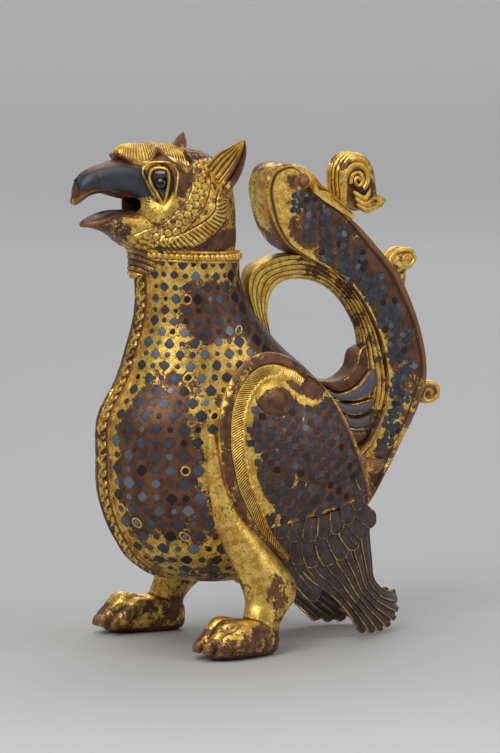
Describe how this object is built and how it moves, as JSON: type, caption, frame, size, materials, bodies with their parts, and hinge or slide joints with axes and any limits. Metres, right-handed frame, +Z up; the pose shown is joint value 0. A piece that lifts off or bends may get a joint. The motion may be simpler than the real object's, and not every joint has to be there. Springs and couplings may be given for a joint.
{
  "type": "aquamanile",
  "caption": "Griffin-shaped pouring vessel: hollow body, open beak spout, tail handle with a finger ring and a hinged leaf lid over the filling hole.",
  "frame": {"origin": "centre of the overall box, at the floor that the paws stand on", "axes": "-X the way the beak points, -Y the griffin's left side, +Z up"},
  "size_m": [0.1415, 0.0852, 0.1704],
  "materials": {
    "gilt_bronze": "worn fire gilding over brown bronze",
    "gilt_ornament": "gilt, chased and hatched",
    "bare_bronze": "brown bronze, polished by handling",
    "silver_inlay": "tarnished dark grey silver with black niello edges",
    "eye_plate": "dark garnet plate, polished",
    "eye_stone": "black bead, glossy"
  },
  "bodies": {
    "root": {"belly_plug": "bare_bronze", "body_shell": "gilt_bronze", "breast_braid": "gilt_ornament", "breast_inlays": "silver_inlay", "brow_crest": "gilt_ornament", "handle_ring": "bare_bronze", "head_shell": "gilt_bronze", "hinge_pin": "bare_bronze", "left_beak_inlay": "silver_inlay", "left_ear": "gilt_ornament", "left_eye_inlay": "eye_plate", "left_eye_stone": "eye_stone", "left_leg": "gilt_bronze", "left_wing": "gilt_bronze", "left_wing_inlays": "silver_inlay", "lower_volute": "gilt_ornament", "pearled_collar": "gilt_ornament", "right_beak_inlay": "silver_inlay", "right_ear": "gilt_ornament", "right_eye_inlay": "eye_plate", "right_eye_stone": "eye_stone", "right_leg": "gilt_bronze", "right_wing": "gilt_bronze", "right_wing_inlays": "silver_inlay", "ring_palmette": "bare_bronze", "tail_inlays": "silver_inlay", "tail_root_curls": "gilt_ornament", "tail_shell": "gilt_bronze", "upper_volute": "gilt_ornament"},
    "lid": {"filler_lid": "gilt_ornament", "thumb_scroll": "gilt_ornament"}
  },
  "joints": [
    {"name": "lid_hinge", "type": "hinge", "parent": "root", "child": "lid", "pos_m": [0.0136, 0, 0.1535], "axis": [0, -1, 0], "range_deg": [0, 70]}
  ]
}
